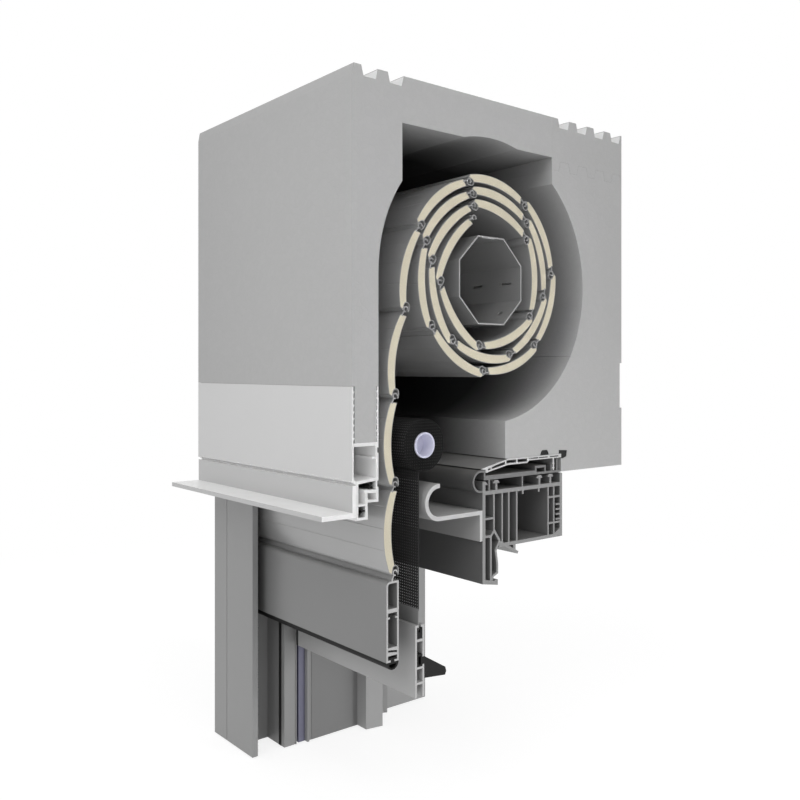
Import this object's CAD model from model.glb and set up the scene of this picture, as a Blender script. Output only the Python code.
"""Looks of the exterior roller shutter sample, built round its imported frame.

Lengths are in metres in the row frame: X runs out of the cut face, Y to the room and Z up,
all from the axis of the winding shaft at the cut face.
"""
import math

import bpy
import numpy as np
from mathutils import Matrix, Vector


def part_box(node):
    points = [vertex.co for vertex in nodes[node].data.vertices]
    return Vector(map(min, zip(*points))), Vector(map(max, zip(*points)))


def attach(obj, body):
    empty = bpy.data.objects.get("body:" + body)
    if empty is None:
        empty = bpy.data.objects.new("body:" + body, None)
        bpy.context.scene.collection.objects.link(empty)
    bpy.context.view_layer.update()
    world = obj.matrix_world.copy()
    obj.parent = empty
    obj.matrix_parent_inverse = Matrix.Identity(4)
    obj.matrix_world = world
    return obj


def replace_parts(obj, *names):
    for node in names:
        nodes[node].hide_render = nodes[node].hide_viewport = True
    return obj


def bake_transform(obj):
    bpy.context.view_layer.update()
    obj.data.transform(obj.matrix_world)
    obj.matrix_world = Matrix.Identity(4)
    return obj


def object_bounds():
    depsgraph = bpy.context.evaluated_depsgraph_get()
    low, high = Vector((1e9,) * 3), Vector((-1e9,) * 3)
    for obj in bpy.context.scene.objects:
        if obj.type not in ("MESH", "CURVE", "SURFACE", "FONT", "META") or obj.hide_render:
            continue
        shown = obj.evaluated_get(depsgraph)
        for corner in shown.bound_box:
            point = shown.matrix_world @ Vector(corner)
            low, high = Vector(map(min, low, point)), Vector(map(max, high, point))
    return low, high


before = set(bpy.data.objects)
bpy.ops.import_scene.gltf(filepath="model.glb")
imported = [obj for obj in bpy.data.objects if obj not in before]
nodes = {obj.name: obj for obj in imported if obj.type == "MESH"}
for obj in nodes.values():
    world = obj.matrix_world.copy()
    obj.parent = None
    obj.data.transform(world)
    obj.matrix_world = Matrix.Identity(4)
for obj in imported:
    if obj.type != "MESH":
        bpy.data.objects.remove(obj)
cad_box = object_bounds()

# Camera of the photograph, which is 800 pixels wide and high
PHOTO_SIZE = 800
CAMERA_PLACE = (0.4210, -0.4240, -0.0604)
CAMERA_TURN = 50.78
FOCAL_SHARE = 869.83 / PHOTO_SIZE
HORIZON_SHARE = (369.27 - PHOTO_SIZE / 2) / PHOTO_SIZE
SENSOR = 36

# A face looks along an axis where its normal has this share of it
FACING = 0.9
# Sawn ends: how far behind X 0 they reach, and the slant of the saw lines
CUT_REACH = 0.0014
SAW_SLANT = 0.35
CUT_ROUGHNESS = 0.5
# Coated profiles: how far roughness wanders, what dust adds, its patches, and the bump
ROUGH_SPREAD = 0.06
DUST_ROUGHNESS = 0.3
DUST_PATCH = 60.0
COAT_BUMP = 0.6
# Foam: share of a bead that is seam, and how darkness grows with depth in the chamber
SEAM_SHARE = 0.09
DEPTH_CURVE = 0.7
FOAM_GRAIN = 1400.0
FOAM_BROAD = 7.0
FOAM_ROUGH = (0.72, 0.9)
FOAM_BUMP = 0.5
FOAM_GLOSS = 0.25
# Rolled net: the levels of a wave above which an opening starts, on the cloth and on its ends
CLOTH_LEVEL = 0.1
ENDS_LEVEL = 0.35
ENDS_FACING = 0.7
WEAVE_GRAIN = 1600.0
WEAVE_DEPTH = 0.0002
WEAVE_ROUGH = (0.45, 0.65)
WEAVE_BUMP = 0.8
WEAVE_GLOSS = 0.12
# Box: edge that the masks leave free, depth of the plaster keys and of the room face's groove
RIM = 0.001
KEY_DEPTH = 0.0066
KEY_EDGE = 0.003
KEY_TONE = 1.7
GROOVE_DEPTH = 0.0023
# Base profile: its front, and how far its painted skin reaches behind that
PROFILE_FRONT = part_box("base_profile")[0][1]
SKIN_DEPTH = 0.0031


def tint(red, green=None, blue=None):
    """Linear colour with alpha 1 from display values of 0 to 255; one value gives a grey."""
    shown = np.array([red, red if green is None else green, red if blue is None else blue]) / 255
    linear = np.where(shown <= 0.04045, shown / 12.92, ((shown + 0.055) / 1.055) ** 2.4)
    return (*(float(v) for v in linear), 1.0)


DUST_TINT = tint(190, 188, 182)


# Shader nodes

def put(tree, kind, sockets=None, **settings):
    """Adds a node, sets its settings, and fills its inputs with values or links."""
    node = tree.nodes.new(kind)
    for name, value in settings.items():
        setattr(node, name, value)
    for key, value in (sockets or {}).items():
        if isinstance(value, bpy.types.NodeSocket):
            tree.links.new(value, node.inputs[key])
        else:
            node.inputs[key].default_value = value
    return node


def math_node(tree, operation, first, second=0.0, clamp=False):
    """The result of a math node on two values or links."""
    return put(tree, "ShaderNodeMath", {0: first, 1: second}, operation=operation,
               use_clamp=clamp).outputs[0]


def new_group(name, inputs, outputs):
    """A shader node group with float inputs (name: default) and float outputs."""
    tree = bpy.data.node_groups.new(name, "ShaderNodeTree")
    for label, default in inputs.items():
        socket = tree.interface.new_socket(label, in_out="INPUT", socket_type="NodeSocketFloat")
        socket.default_value = default
    for label in outputs:
        tree.interface.new_socket(label, in_out="OUTPUT", socket_type="NodeSocketFloat")
    return tree, tree.nodes.new("NodeGroupInput"), tree.nodes.new("NodeGroupOutput")


def grain_group():
    """Fine unevenness: two noises on Object coordinates, the second drawn out along X."""
    tree, given, out = new_group(
        "surface_grain", {"Scale": 900.0, "Draw": 1.0, "Broad Scale": 18.0},
        ("Fine", "Broad"))
    place = put(tree, "ShaderNodeTexCoord").outputs["Object"]
    parts = put(tree, "ShaderNodeSeparateXYZ", {0: place}).outputs
    along = math_node(tree, "DIVIDE", parts["X"], given.outputs["Draw"])
    drawn = put(tree, "ShaderNodeCombineXYZ", {"X": along, "Y": parts["Y"], "Z": parts["Z"]})
    fine = put(tree, "ShaderNodeTexNoise",
               {"Vector": drawn.outputs[0], "Scale": given.outputs["Scale"], "Detail": 3.0})
    broad = put(tree, "ShaderNodeTexNoise",
                {"Vector": place, "Scale": given.outputs["Broad Scale"], "Detail": 4.0})
    tree.links.new(fine.outputs["Fac"], out.inputs["Fine"])
    tree.links.new(broad.outputs["Fac"], out.inputs["Broad"])
    return tree


def cut_group():
    """Sawn end at X 0: where the normal points along +X and X is near 0, with saw lines."""
    tree, given, out = new_group("sawn_end", {"Saw Pitch": 0.0011}, ("Mask", "Saw"))
    coordinate = put(tree, "ShaderNodeTexCoord").outputs
    facing = put(tree, "ShaderNodeSeparateXYZ", {0: coordinate["Normal"]}).outputs["X"]
    place = put(tree, "ShaderNodeSeparateXYZ", {0: coordinate["Object"]}).outputs
    mask = math_node(tree, "MULTIPLY", math_node(tree, "GREATER_THAN", facing, FACING),
                     math_node(tree, "GREATER_THAN", place["X"], -CUT_REACH))
    slant = math_node(tree, "ADD", place["Z"],
                      math_node(tree, "MULTIPLY", place["Y"], SAW_SLANT))
    turns = math_node(tree, "DIVIDE", slant, given.outputs["Saw Pitch"])
    wave = math_node(tree, "SINE", math_node(tree, "MULTIPLY", turns, 2 * math.pi))
    tree.links.new(mask, out.inputs["Mask"])
    tree.links.new(math_node(tree, "MULTIPLY", wave, mask), out.inputs["Saw"])
    return tree


def bead_group():
    """Foam beads: Voronoi cells of the bead size, their seams and a tone for each bead."""
    tree, given, out = new_group("foam_beads", {"Bead": 0.004}, ("Seam", "Tone"))
    place = put(tree, "ShaderNodeTexCoord").outputs["Object"]
    scale = math_node(tree, "DIVIDE", 1.0, given.outputs["Bead"])
    seam = put(tree, "ShaderNodeTexVoronoi", {"Vector": place, "Scale": scale},
               feature="DISTANCE_TO_EDGE")
    cell = put(tree, "ShaderNodeTexVoronoi", {"Vector": place, "Scale": scale}, feature="F1")
    line = put(tree, "ShaderNodeMapRange",
               {"Value": seam.outputs["Distance"], "From Min": 0.0, "From Max": SEAM_SHARE,
                "To Min": 1.0, "To Max": 0.0})
    tone = put(tree, "ShaderNodeSeparateColor", {0: cell.outputs["Color"]})
    tree.links.new(line.outputs[0], out.inputs["Seam"])
    tree.links.new(tone.outputs[0], out.inputs["Tone"])
    return tree


def within(tree, mask, place, limits):
    """The mask, kept where a place lies between the limits of each axis."""
    for axis, start, end in limits:
        mask = math_node(tree, "MULTIPLY", mask,
                         math_node(tree, "GREATER_THAN", place[axis], start))
        mask = math_node(tree, "MULTIPLY", mask,
                         math_node(tree, "LESS_THAN", place[axis], end))
    return mask


def depth_group():
    """Depth in the chamber, from 0 at the cut face to 1 at Reach, and the plaster keys."""
    tree, given, out = new_group("chamber_depth", {"Reach": 0.085}, ("Depth", "Keys"))
    coordinate = put(tree, "ShaderNodeTexCoord").outputs
    place = put(tree, "ShaderNodeSeparateXYZ", {0: coordinate["Object"]}).outputs
    facing = put(tree, "ShaderNodeSeparateXYZ", {0: coordinate["Normal"]}).outputs
    low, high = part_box("box_shell")
    side = math_node(tree, "LESS_THAN", math_node(tree, "ABSOLUTE", facing["X"]), FACING)
    inside = within(tree, side, place, (("Y", low[1] + RIM, high[1] - GROOVE_DEPTH - RIM),
                                        ("Z", low[2] + RIM, high[2] - KEY_DEPTH - RIM)))
    keys = within(tree, side, place, (("Y", low[1] + KEY_EDGE, high[1] - RIM),
                                      ("Z", high[2] - KEY_DEPTH - RIM, high[2] - RIM / 2)))
    tree.links.new(keys, out.inputs["Keys"])
    away = math_node(tree, "DIVIDE", math_node(tree, "MULTIPLY", place["X"], -1.0),
                     given.outputs["Reach"], clamp=True)
    away = math_node(tree, "POWER", away, DEPTH_CURVE)
    tree.links.new(math_node(tree, "MULTIPLY", away, inside), out.inputs["Depth"])
    return tree


def skin_group():
    """Outer skin of a profile: 1 where a place lies in front of the Plane, 0 behind it."""
    tree, given, out = new_group("front_skin", {"Plane": 0.0}, ("Mask",))
    place = put(tree, "ShaderNodeSeparateXYZ",
                {0: put(tree, "ShaderNodeTexCoord").outputs["Object"]}).outputs
    tree.links.new(math_node(tree, "LESS_THAN", place["Y"], given.outputs["Plane"]),
                   out.inputs["Mask"])
    return tree


def dust_group():
    """Settled dust: stronger on faces that look up, broken by a noise."""
    tree, given, out = new_group("settled_dust", {"Amount": 0.3}, ("Mask",))
    coordinate = put(tree, "ShaderNodeTexCoord").outputs
    up = put(tree, "ShaderNodeSeparateXYZ", {0: coordinate["Normal"]}).outputs["Z"]
    patch = put(tree, "ShaderNodeTexNoise",
                {"Vector": coordinate["Object"], "Scale": DUST_PATCH, "Detail": 5.0}).outputs["Fac"]
    lifted = math_node(tree, "MULTIPLY", math_node(tree, "MAXIMUM", up, 0.0), patch)
    tree.links.new(math_node(tree, "MULTIPLY", lifted, given.outputs["Amount"]),
                   out.inputs["Mask"])
    return tree


def forward_group():
    """Faces that look straight to the front: 1 on them, 0 elsewhere."""
    tree, given, out = new_group("looks_forward", {}, ("Mask",))
    facing = put(tree, "ShaderNodeSeparateXYZ",
                 {0: put(tree, "ShaderNodeTexCoord").outputs["Normal"]}).outputs
    tree.links.new(math_node(tree, "LESS_THAN", facing["Y"], -FACING), out.inputs["Mask"])
    return tree


GRAIN, CUT, BEAD, DUST = grain_group(), cut_group(), bead_group(), dust_group()
DEPTH, SKIN, FORWARD = depth_group(), skin_group(), forward_group()


def placed(tree, group, **values):
    """Places a node group with its own values and returns its outputs."""
    node = tree.nodes.new("ShaderNodeGroup")
    node.node_tree = group
    for label, value in values.items():
        node.inputs[label.replace("_", " ")].default_value = value
    return node.outputs


def spread(tree, value, low, high):
    """Maps a 0 to 1 value to the range low to high."""
    return put(tree, "ShaderNodeMapRange",
               {"Value": value, "To Min": low, "To Max": high}).outputs[0]


def mixed(tree, share, first, second):
    """Colour mix: share of the second over the first."""
    node = put(tree, "ShaderNodeMix", data_type="RGBA")
    for socket, value in ((node.inputs["Factor"], share), (node.inputs[6], first),
                          (node.inputs[7], second)):
        if isinstance(value, bpy.types.NodeSocket):
            tree.links.new(value, socket)
        else:
            socket.default_value = value
    return node.outputs[2]


def mixed_value(tree, share, first, second):
    """A value that goes from first to second with share."""
    return math_node(tree, "ADD", math_node(tree, "MULTIPLY", share, second - first), first)


def toned(tree, colour, factor):
    """A colour times a factor that changes over the surface."""
    node = put(tree, "ShaderNodeVectorMath", {"Scale": factor}, operation="SCALE")
    if isinstance(colour, bpy.types.NodeSocket):
        tree.links.new(colour, node.inputs[0])
    else:
        node.inputs[0].default_value = colour[:3]
    return node.outputs[0]


def blank_material(name):
    """A new material with its node tree and its Principled shader."""
    material = bpy.data.materials.new(name)
    material.use_nodes = True
    tree = material.node_tree
    return material, tree, tree.nodes["Principled BSDF"]


def coated(name, body, cut=None, roughness=0.45, metallic=0.0, tone=0.05, scale=900.0,
           draw=1.0, depth=0.00002, saw=0.00003, dust=0.25, gloss=0.5, inner=None,
           skin_plane=0.0, forward=None):
    """Finish of a profile: body colour with grain, a sawn end of another colour, and dust.

    inner colours what lies behind the skin_plane, and forward the faces that look to the front.
    """
    material, tree, shader = blank_material(name)
    grain = placed(tree, GRAIN, Scale=scale, Draw=draw)
    end = placed(tree, CUT)
    settled = placed(tree, DUST, Amount=dust)["Mask"]
    shade = math_node(tree, "MULTIPLY", spread(tree, grain["Broad"], 1 - tone, 1 + tone),
                      spread(tree, grain["Fine"], 1 - tone / 2, 1 + tone / 2))
    if inner:
        body = mixed(tree, placed(tree, SKIN, Plane=skin_plane)["Mask"], inner, body)
    if forward:
        body = mixed(tree, placed(tree, FORWARD)["Mask"], body, forward)
    colour = toned(tree, mixed(tree, end["Mask"], body, cut or body), shade)
    tree.links.new(mixed(tree, settled, colour, DUST_TINT), shader.inputs["Base Color"])
    rough = mixed_value(tree, end["Mask"], roughness, CUT_ROUGHNESS)
    rough = math_node(tree, "ADD", rough, spread(tree, grain["Broad"], -ROUGH_SPREAD, ROUGH_SPREAD))
    rough = math_node(tree, "ADD", rough,
                      math_node(tree, "MULTIPLY", settled, DUST_ROUGHNESS), clamp=True)
    tree.links.new(rough, shader.inputs["Roughness"])
    height = math_node(tree, "ADD", math_node(tree, "MULTIPLY", grain["Fine"], depth),
                       math_node(tree, "MULTIPLY", end["Saw"], saw))
    bump = put(tree, "ShaderNodeBump", {"Height": height, "Strength": COAT_BUMP, "Distance": 1.0})
    tree.links.new(bump.outputs[0], shader.inputs["Normal"])
    shader.inputs["Metallic"].default_value = metallic
    shader.inputs["Specular IOR Level"].default_value = gloss
    return material


def beaded(name, body, bead=0.0042, seam=0.02, tone=0.01, depth=0.00005, broad=0.01,
           recess=1.0):
    """Moulded bead foam: cells with faint darker seams, a broad tone and greyer recesses."""
    material, tree, shader = blank_material(name)
    cell = placed(tree, BEAD, Bead=bead)
    grain = placed(tree, GRAIN, Scale=FOAM_GRAIN, Broad_Scale=FOAM_BROAD)
    shade = math_node(tree, "MULTIPLY", spread(tree, cell["Tone"], 1 - tone, 1 + tone),
                      spread(tree, grain["Broad"], 1 - broad, 1 + broad))
    shade = math_node(tree, "MULTIPLY", shade, spread(tree, cell["Seam"], 1.0, 1 - seam))
    if recess < 1:
        place = placed(tree, DEPTH)
        shade = math_node(tree, "MULTIPLY", shade, spread(tree, place["Depth"], 1.0, recess))
        shade = math_node(tree, "MULTIPLY", shade, spread(tree, place["Keys"], 1.0, KEY_TONE))
    tree.links.new(toned(tree, body, shade), shader.inputs["Base Color"])
    tree.links.new(spread(tree, grain["Fine"], *FOAM_ROUGH), shader.inputs["Roughness"])
    height = math_node(tree, "ADD",
                       math_node(tree, "MULTIPLY", cell["Seam"], -depth),
                       math_node(tree, "MULTIPLY", grain["Fine"], depth * 0.5))
    bump = put(tree, "ShaderNodeBump", {"Height": height, "Strength": FOAM_BUMP, "Distance": 1.0})
    tree.links.new(bump.outputs[0], shader.inputs["Normal"])
    shader.inputs["Specular IOR Level"].default_value = FOAM_GLOSS
    return material


def squares(tree, first, second, pitch, level):
    """1 inside the openings of a square grid of two coordinates, 0 on its threads."""
    waves = [math_node(tree, "SINE", math_node(tree, "MULTIPLY", value, 2 * math.pi / pitch))
             for value in (first, second)]
    return math_node(tree, "MULTIPLY", math_node(tree, "GREATER_THAN", waves[0], level),
                     math_node(tree, "GREATER_THAN", waves[1], level))


def mesh_weave(name, thread, gap, pitch, edge_pitch):
    """Rolled net: threads in squares on its own UV map, and thread ends on its rolled edge."""
    material, tree, shader = blank_material(name)
    coordinate = put(tree, "ShaderNodeTexCoord").outputs
    cloth = put(tree, "ShaderNodeSeparateXYZ", {0: coordinate["UV"]}).outputs
    place = put(tree, "ShaderNodeSeparateXYZ", {0: coordinate["Object"]}).outputs
    facing = put(tree, "ShaderNodeSeparateXYZ", {0: coordinate["Normal"]}).outputs["X"]
    edge = math_node(tree, "GREATER_THAN", math_node(tree, "ABSOLUTE", facing), ENDS_FACING)
    hole = squares(tree, cloth["X"], cloth["Y"], pitch, CLOTH_LEVEL)
    ends = squares(tree, place["Y"], place["Z"], edge_pitch, ENDS_LEVEL)
    hole = math_node(tree, "MAXIMUM", math_node(tree, "MULTIPLY", ends, edge),
                     math_node(tree, "MULTIPLY", hole, math_node(tree, "SUBTRACT", 1.0, edge)))
    grain = placed(tree, GRAIN, Scale=WEAVE_GRAIN)
    colour = toned(tree, mixed(tree, hole, thread, gap), spread(tree, grain["Broad"], 0.85, 1.15))
    tree.links.new(colour, shader.inputs["Base Color"])
    tree.links.new(spread(tree, grain["Fine"], *WEAVE_ROUGH), shader.inputs["Roughness"])
    height = math_node(tree, "MULTIPLY", hole, -WEAVE_DEPTH)
    bump = put(tree, "ShaderNodeBump", {"Height": height, "Strength": WEAVE_BUMP, "Distance": 1.0})
    tree.links.new(bump.outputs[0], shader.inputs["Normal"])
    shader.inputs["Specular IOR Level"].default_value = WEAVE_GLOSS
    return material


FINISHES = {
    "foam_box": beaded("foam_box", tint(177), recess=0.07),
    "foam_insert": beaded("foam_insert", tint(176), recess=0.05),
    "head_grey": coated("head_grey", tint(70), roughness=0.7, tone=0.06),
    "plaster_white": coated("plaster_white", tint(204), tint(224), roughness=0.42, tone=0.025,
                            inner=tint(240), skin_plane=PROFILE_FRONT + SKIN_DEPTH),
    "drip_white": coated("drip_white", tint(248), tint(238), roughness=0.35, tone=0.02,
                         forward=tint(188)),
    "gasket_black": coated("gasket_black", tint(14), tint(20), roughness=0.62, tone=0.15,
                           scale=2500.0, depth=0.00003, dust=0.04, gloss=0.25),
    "plastic_black": coated("plastic_black", tint(26), tint(34), roughness=0.38, tone=0.1,
                            dust=0.1),
    "shaft_zinc": coated("shaft_zinc", tint(140), tint(160), roughness=0.38, metallic=0.25,
                         tone=0.07, scale=420.0, draw=30.0, dust=0.1),
    "bearing_bright": coated("bearing_bright", tint(200), roughness=0.18, metallic=1.0,
                             tone=0.04, dust=0.05),
    "spring_grey": coated("spring_grey", tint(130), tint(170), roughness=0.35, metallic=0.9,
                          tone=0.08, draw=20.0),
    "slat_coat": coated("slat_coat", tint(168), tint(150), roughness=0.34, metallic=0.4,
                        tone=0.035, scale=700.0, draw=14.0, saw=0.0, dust=0.12),
    "slat_foam": beaded("slat_foam", tint(209, 202, 181), bead=0.0005, seam=0.05, tone=0.03,
                        depth=0.00004, broad=0.02),
    "bar_coat": coated("bar_coat", tint(128), tint(184), roughness=0.36, tone=0.03,
                       scale=1300.0, dust=0.12),
    "rail_coat": coated("rail_coat", tint(146), tint(170), roughness=0.38, tone=0.03,
                        scale=1300.0, dust=0.1),
    "screen_bar_coat": coated("screen_bar_coat", tint(172), tint(186), roughness=0.36,
                              tone=0.03, scale=1300.0, dust=0.12),
    "spacer_coat": coated("spacer_coat", tint(128), tint(150), roughness=0.42, tone=0.04),
    "frame_plastic": coated("frame_plastic", tint(104), tint(138), roughness=0.4, tone=0.04,
                            dust=0.15),
    "side_frame_plastic": coated("side_frame_plastic", tint(166), tint(170), roughness=0.4,
                                 tone=0.03, dust=0.15),
    "nose_plastic": coated("nose_plastic", tint(176), tint(192), roughness=0.42, tone=0.03),
    "adapter_plastic": coated("adapter_plastic", tint(84), tint(112), roughness=0.42,
                              tone=0.04),
    "cover_plastic": coated("cover_plastic", tint(130), tint(198), roughness=0.42, tone=0.03),
    "lavender_plastic": coated("lavender_plastic", tint(214, 214, 230), tint(198, 198, 218),
                               roughness=0.35, tone=0.03),
    "lavender_zip": coated("lavender_zip", tint(116, 116, 136), tint(108, 108, 128),
                           roughness=0.45, tone=0.04),
    "thread_black": coated("thread_black", tint(48), roughness=0.6, tone=0.15, scale=2600.0,
                           dust=0.0, gloss=0.3),
    "hem_grey": coated("hem_grey", tint(142), roughness=0.6, tone=0.06, scale=2200.0,
                       draw=0.3, depth=0.00005, dust=0.0),
    "pile_black": coated("pile_black", tint(22), roughness=0.8, tone=0.25, scale=3000.0,
                         dust=0.05),
    "net_roll_weave": mesh_weave("net_roll_weave", tint(8), tint(46), 0.00185, 0.0019),
}

NODE_FINISH = {
    "foam_box": ["box_shell"],
    "foam_insert": ["box_room_insert"],
    "head_grey": ["head_panel"],
    "plaster_white": ["base_profile"],
    "drip_white": ["drip_strip"],
    "gasket_black": ["base_gaskets", "cover_gaskets", "end_bar_seal", "pull_bar_keder",
                     "pull_bar_lip"],
    "plastic_black": ["shaft_plug", "tube_holder", "pull_bar_glide"],
    "shaft_zinc": ["winding_shaft", "bearing_plate"],
    "bearing_bright": ["shaft_bearing", "plate_screws"],
    "spring_grey": ["hanger_straps"],
    "slat_coat": [f"slat_{n:02d}" for n in range(1, 24)],
    "slat_foam": ["foam_hanging", "foam_link_lower", "foam_link_upper", "foam_wound"],
    "bar_coat": ["end_bar"],
    "rail_coat": ["guide_rail", "screen_guide"],
    "screen_bar_coat": ["pull_bar"],
    "spacer_coat": ["side_spacer"],
    "frame_plastic": ["top_frame"],
    "side_frame_plastic": ["side_frame"],
    "nose_plastic": ["nose_profile"],
    "adapter_plastic": ["frame_adapter"],
    "cover_plastic": ["cover_panel"],
    "lavender_plastic": ["screen_tube"],
    "lavender_zip": ["guide_zip"],
}
for finish, names in NODE_FINISH.items():
    for name in names:
        mesh = nodes[name].data
        mesh.materials.clear()
        mesh.materials.append(FINISHES[finish])


# New pieces

def make_piece(name, points, faces, finish, body=None, smooth=True, uv=None):
    """A mesh from arrays of points and of faces, with a finish, riding on a body."""
    mesh = bpy.data.meshes.new(name)
    mesh.from_pydata(np.asarray(points, float).tolist(), [], np.asarray(faces).tolist())
    mesh.materials.append(FINISHES[finish])
    if uv is not None:
        layer = mesh.uv_layers.new(name="cloth")
        corner = np.empty(len(mesh.loops), dtype=np.int64)
        mesh.loops.foreach_get("vertex_index", corner)
        layer.data.foreach_set("uv", np.asarray(uv, float)[corner].ravel())
    mesh.polygons.foreach_set("use_smooth", np.full(len(mesh.polygons), smooth))
    mesh.update()
    piece = bpy.data.objects.new(name, mesh)
    bpy.context.scene.collection.objects.link(piece)
    if body:
        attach(piece, body)
    return piece


def grid_faces(rows, columns, closed=False):
    """Quads of a grid of rows by columns points, row after row, each row closed or open."""
    i = np.arange(rows - 1)[:, None]
    j = np.arange(columns if closed else columns - 1)[None, :]
    a = i * columns + j
    b = i * columns + (j + 1) % columns
    c = (i + 1) * columns + (j + 1) % columns
    d = (i + 1) * columns + j
    return np.stack([a, b, c, d], axis=-1).reshape(-1, 4)


# Net and hem, from the node that they stand for
NET_LOW, NET_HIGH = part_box("screen_net")
NET_X = (NET_LOW[0], NET_HIGH[0])
NET_Y = NET_LOW[1] / 2 + NET_HIGH[1] / 2
NET_Z = (NET_LOW[2], NET_HIGH[2])
HEM_HEIGHT = 0.014
HEM_TOP = NET_Z[0] + HEM_HEIGHT
HEM_HALF = 0.0004
HEM_SIDES = 16
HEM_ROUND = 0.25
NET_PITCH = 0.00185
THREAD = 0.00112
NET_THICK = 0.0003
NET_TUCK = 0.0016
NET_TOP = NET_Z[1] + NET_TUCK


def net_lines(low, high):
    """Edges of the threads from low to high: a thread and an opening in each pitch."""
    count = int(round((high - low - THREAD) / NET_PITCH))
    starts = low + (high - low - THREAD) * np.arange(count + 1) / count
    return np.stack([starts, starts + THREAD], axis=1).ravel()


def build_net():
    """Flat net: the product of two sets of thread edges, without the cells of the openings.

    Its upper edge is tucked into the roll, so that no gap opens between them.
    """
    xs = net_lines(*NET_X)
    zs = net_lines(HEM_TOP - THREAD, NET_TOP)
    columns, rows = len(xs), len(zs)
    grid_x, grid_z = np.meshgrid(xs, zs)
    points = np.stack([grid_x, np.full_like(grid_x, NET_Y), grid_z], axis=-1).reshape(-1, 3)
    faces = grid_faces(rows, columns)
    i, j = np.divmod(np.arange(len(faces)), columns - 1)
    kept = (i % 2 == 0) | (j % 2 == 0)
    faces = faces[kept]
    widths, heights = np.diff(xs), np.diff(zs)
    area = float((np.outer(heights, widths).ravel()[kept]).sum())
    piece = make_piece("net_panel", points, faces, "thread_black",
                       smooth=False, uv=points[:, [0, 2]])
    wall = piece.modifiers.new("wall", "SOLIDIFY")
    wall.thickness, wall.offset = NET_THICK, 0.0
    return piece, area


def build_hem():
    """Hem: a flat tube of doubled net, its section a thin rounded loop carried along X."""
    turn = np.linspace(0, 2 * math.pi, HEM_SIDES + 1)[:-1]
    middle, reach = (NET_Z[0] + HEM_TOP) / 2, (HEM_TOP - NET_Z[0]) / 2
    y = NET_Y + HEM_HALF * np.sin(turn)
    z = middle + reach * np.sign(np.cos(turn)) * np.abs(np.cos(turn)) ** HEM_ROUND
    xs = np.array([NET_X[0], NET_X[0], NET_X[1], NET_X[1]])
    inner = np.array([0.0, 1.0, 1.0, 0.0])
    points = np.stack([np.repeat(xs, len(turn)),
                       (NET_Y + np.outer(inner, y - NET_Y)).ravel(),
                       (middle + np.outer(inner, z - middle)).ravel()], axis=1)
    return make_piece("net_hem", points, grid_faces(len(xs), len(turn), closed=True)[:, ::-1],
                      "hem_grey", body="screen_bar", smooth=False)


net, net_area = build_net()
hem = build_hem()
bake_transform(net)
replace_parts(net, "screen_net")

# Roll of the net round its tube, with its outer end where the net leaves it
ROLL_LOW, ROLL_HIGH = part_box("screen_roll")
TUBE_LOW, TUBE_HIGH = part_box("screen_tube")
ROLL_CENTRE = [(TUBE_LOW[k] + TUBE_HIGH[k]) / 2 for k in (1, 2)]
ROLL_OUT = 0.0175
ROLL_IN = 0.0084
ROLL_TURNS = 13
ROLL_STEPS = 40
ROLL_END = math.radians(-103)
ROLL_CLOTH = 0.0005
ROLL_RIPPLE = 0.00004
RIPPLE_RATE = 7.3


def build_roll():
    """Rolled net: a spiral whose radius grows evenly with its angle, carried along X."""
    angle = ROLL_END + np.linspace(-2 * math.pi * ROLL_TURNS, 0,
                                   ROLL_TURNS * ROLL_STEPS + 1)
    share = np.linspace(0, 1, len(angle))
    ripple = ROLL_RIPPLE * np.sin(angle * RIPPLE_RATE)
    radius = ROLL_IN + (ROLL_OUT - ROLL_CLOTH - ROLL_IN) * share + ripple
    length = np.concatenate([[0], np.cumsum(np.hypot(
        np.diff(radius), (radius[1:] + radius[:-1]) / 2 * np.diff(angle)))])
    xs = np.linspace(ROLL_LOW[0], ROLL_HIGH[0], 3)
    columns = len(xs)
    y = ROLL_CENTRE[0] + radius * np.cos(angle)
    z = ROLL_CENTRE[1] + radius * np.sin(angle)
    points = np.stack([np.tile(xs, len(angle)), np.repeat(y, columns), np.repeat(z, columns)],
                      axis=1)
    uv = np.stack([np.tile(xs, len(angle)), np.repeat(length, columns)], axis=1)
    piece = make_piece("net_roll", points, grid_faces(len(angle), columns)[:, ::-1],
                       "net_roll_weave", body="screen_roller", uv=uv)
    wall = piece.modifiers.new("wall", "SOLIDIFY")
    wall.thickness, wall.offset = ROLL_CLOTH, 0.0
    return piece, float(length[-1])


roll, roll_length = build_roll()
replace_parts(roll, "screen_roll")


# Pile of the rail: thickness of each backing strip, and how far its bristles reach from its back
FRONT_STRIP, FRONT_PILE = 0.0014, 0.0048
REAR_STRIP, REAR_PILE = 0.0020, 0.0028
BRISTLES = 780
BRISTLE_HALF = 0.00016
TIP_SHARE = 0.45
SHORTEST = 0.86
PILE_START, PILE_BAND, PILE_END = 0.0012, 0.0011, 0.0006
PILE_LEAN = 0.00025


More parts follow.
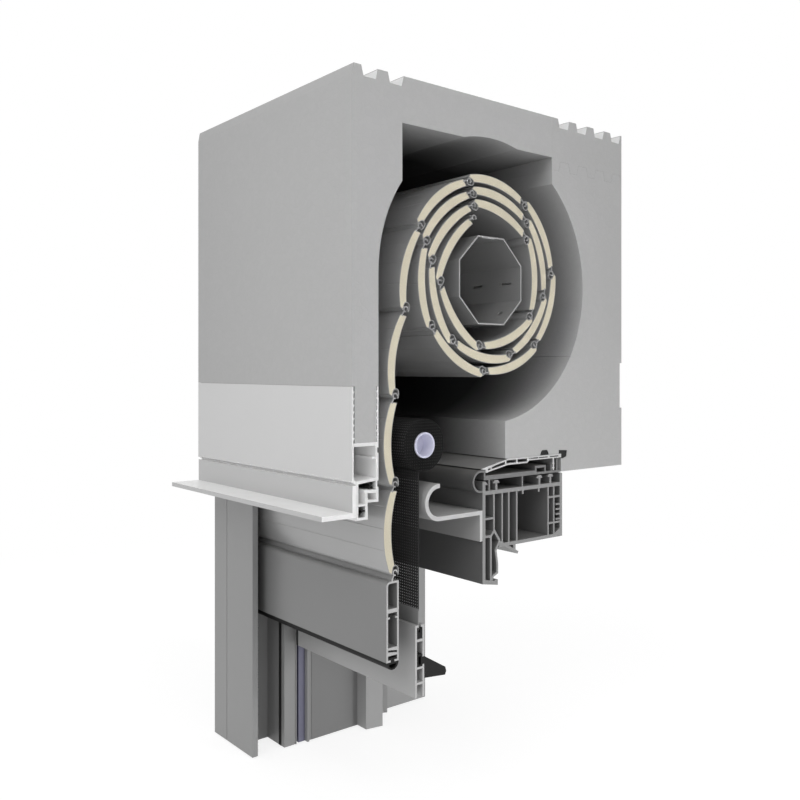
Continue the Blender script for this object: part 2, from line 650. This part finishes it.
def build_brushes():
    """Two rows of pile on a backing strip: thin four-sided bristles with leaning tips."""
    low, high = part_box("rail_brushes")
    random = np.random.default_rng(7)
    points, faces = [], []
    rows = ((low[1] + FRONT_STRIP, low[1] + FRONT_PILE, low[1]),
            (high[1] - REAR_STRIP, high[1] - REAR_PILE, high[1]))
    for root_y, tip_y, back_y in rows:
        lo, hi = min(root_y, back_y), max(root_y, back_y)
        base = sum(len(p) for p in points)
        corners = np.array([[x, y, z] for x in (low[0], high[0]) for y in (lo, hi)
                            for z in (low[2], high[2])])
        points.append(corners)
        faces.append(base + np.array([[0, 1, 3, 2], [4, 6, 7, 5], [0, 4, 5, 1], [2, 3, 7, 6],
                                      [0, 2, 6, 4], [1, 5, 7, 3]]))
        x = low[0] + PILE_START + PILE_BAND * random.random(BRISTLES)
        z = np.linspace(low[2] + PILE_END, high[2] - PILE_END, BRISTLES)
        lean = np.stack([random.normal(0, PILE_LEAN, BRISTLES), np.zeros(BRISTLES),
                         random.normal(0, PILE_LEAN, BRISTLES)], axis=1)
        reach = (tip_y - root_y) * (SHORTEST + (1 - SHORTEST) * random.random(BRISTLES))
        root = np.stack([x, np.full(BRISTLES, root_y), z], axis=1)
        tip = np.stack([x, root_y + reach, z], axis=1) + lean
        tip[:, 2] = np.clip(tip[:, 2], low[2], high[2])
        ring = BRISTLE_HALF * np.array([[1, 0, 0], [0, 0, 1], [-1, 0, 0], [0, 0, -1]])
        hair = np.concatenate([root[:, None] + ring, tip[:, None] + ring * TIP_SHARE], axis=1)
        first = base + len(corners) + np.arange(BRISTLES)[:, None, None] * hair.shape[1]
        sides = np.array([[0, 1, 5, 4], [1, 2, 6, 5], [2, 3, 7, 6], [3, 0, 4, 7], [4, 5, 6, 7],
                          [3, 2, 1, 0]])
        if tip_y > root_y:
            sides = sides[:, ::-1]
        points.append(hair.reshape(-1, 3))
        faces.append((first + sides).reshape(-1, 4))
    piece = make_piece("brush_pile", np.concatenate(points), np.concatenate(faces),
                       "pile_black", body="box", smooth=False)
    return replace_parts(piece, "rail_brushes")


build_brushes()


# Room, light and camera

MIDDLE = (-0.1, 0.0, -0.1)
FLOOR_DROP = 0.001
FLOOR_HALF = 4.0
FLOOR_GREY = 0.86
# The floor's glow and its share of the shadow change between these distances from the middle
SHADOW_NEAR, SHADOW_FAR = 0.3, 0.9
SHADOW_SHARE = 0.3
NEAR_GLOW = 0.17
WORLD_STRENGTH = 0.6


def ray_share(tree):
    """1 for rays from the camera, mirror rays and rays through glass, and 0 for the rest."""
    rays = put(tree, "ShaderNodeLightPath").outputs
    seen = math_node(tree, "MAXIMUM", rays["Is Camera Ray"], rays["Is Glossy Ray"])
    return math_node(tree, "MAXIMUM", seen, rays["Is Transmission Ray"])


def build_floor():
    """Pale floor that stays near white to the eye and still takes the sample's shadow."""
    level = cad_box[0][2] - FLOOR_DROP
    material, tree, shader = blank_material("pale_floor")
    shader.inputs["Base Color"].default_value = (FLOOR_GREY, FLOOR_GREY, FLOOR_GREY, 1)
    shader.inputs["Roughness"].default_value = 0.9
    place = put(tree, "ShaderNodeTexCoord").outputs["Object"]
    away = put(tree, "ShaderNodeVectorMath", {0: place, 1: (MIDDLE[0], MIDDLE[1], level)},
               operation="DISTANCE").outputs["Value"]
    near = put(tree, "ShaderNodeMapRange",
               {"Value": away, "From Min": SHADOW_NEAR, "From Max": SHADOW_FAR,
                "To Min": 1.0, "To Max": 0.0}, interpolation_type="SMOOTHSTEP").outputs[0]
    glow = put(tree, "ShaderNodeEmission",
               {"Color": (1, 1, 1, 1), "Strength": mixed_value(tree, near, 1.0, 1 + NEAR_GLOW)})
    share = math_node(tree, "MULTIPLY", ray_share(tree),
                      mixed_value(tree, near, 1.0, 1 - SHADOW_SHARE))
    shader_mix = put(tree, "ShaderNodeMixShader",
                     {0: share, 1: shader.outputs[0], 2: glow.outputs[0]})
    tree.links.new(shader_mix.outputs[0], tree.nodes["Material Output"].inputs[0])
    FINISHES["pale_floor"] = material
    corners = [[x * FLOOR_HALF, y * FLOOR_HALF, level]
               for x, y in ((-1, -1), (1, -1), (1, 1), (-1, 1))]
    floor = make_piece("pale_floor", corners, [[0, 1, 2, 3]], "pale_floor", smooth=False)


def build_world():
    """White to the eye, and an even soft light on the sample."""
    world = bpy.data.worlds.new("studio")
    bpy.context.scene.world = world
    world.use_nodes = True
    tree = world.node_tree
    back = tree.nodes["Background"]
    strength = mixed_value(tree, ray_share(tree), WORLD_STRENGTH, 1.0)
    back.inputs["Color"].default_value = (1, 1, 1, 1)
    tree.links.new(strength, back.inputs["Strength"])


def add_lamp(name, place, target, size, power, beam=180):
    """A square area lamp that faces the target, its beam in degrees."""
    light = bpy.data.lights.new(name, "AREA")
    light.size, light.energy, light.spread = size, power, math.radians(beam)
    lamp = bpy.data.objects.new(name, light)
    gap = np.array(target) - np.array(place)
    flat = math.hypot(gap[0], gap[1])
    lamp.location = place
    lamp.rotation_euler = (math.atan2(flat, -gap[2]), 0, math.atan2(-gap[0], gap[1]))
    bpy.context.scene.collection.objects.link(lamp)


def build_camera():
    """The photograph's camera: level, with its horizon shifted off the middle."""
    data = bpy.data.cameras.new("photo_camera")
    data.sensor_width = SENSOR
    data.lens = SENSOR * FOCAL_SHARE
    data.shift_y = HORIZON_SHARE
    camera = bpy.data.objects.new("photo_camera", data)
    camera.location = CAMERA_PLACE
    camera.rotation_euler = (math.pi / 2, 0, math.radians(CAMERA_TURN))
    bpy.context.scene.collection.objects.link(camera)
    bpy.context.scene.camera = camera


build_floor()
build_world()
add_lamp("key_lamp", (0.5, -1.6, 1.2), MIDDLE, 1.2, 9.7)
add_lamp("fill_lamp", (1.1, -0.35, 1.2), MIDDLE, 0.8, 5.2)
add_lamp("end_lamp", (1.2, 0.5, 0.1), (-0.2, -0.02, -0.33), 0.35, 0.095, beam=16)
add_lamp("coil_lamp", (0.8, -0.75, -0.16), (-0.04, -0.03, 0.01), 0.3, 0.055, beam=14)
build_camera()
bpy.context.scene.view_settings.view_transform = "Standard"
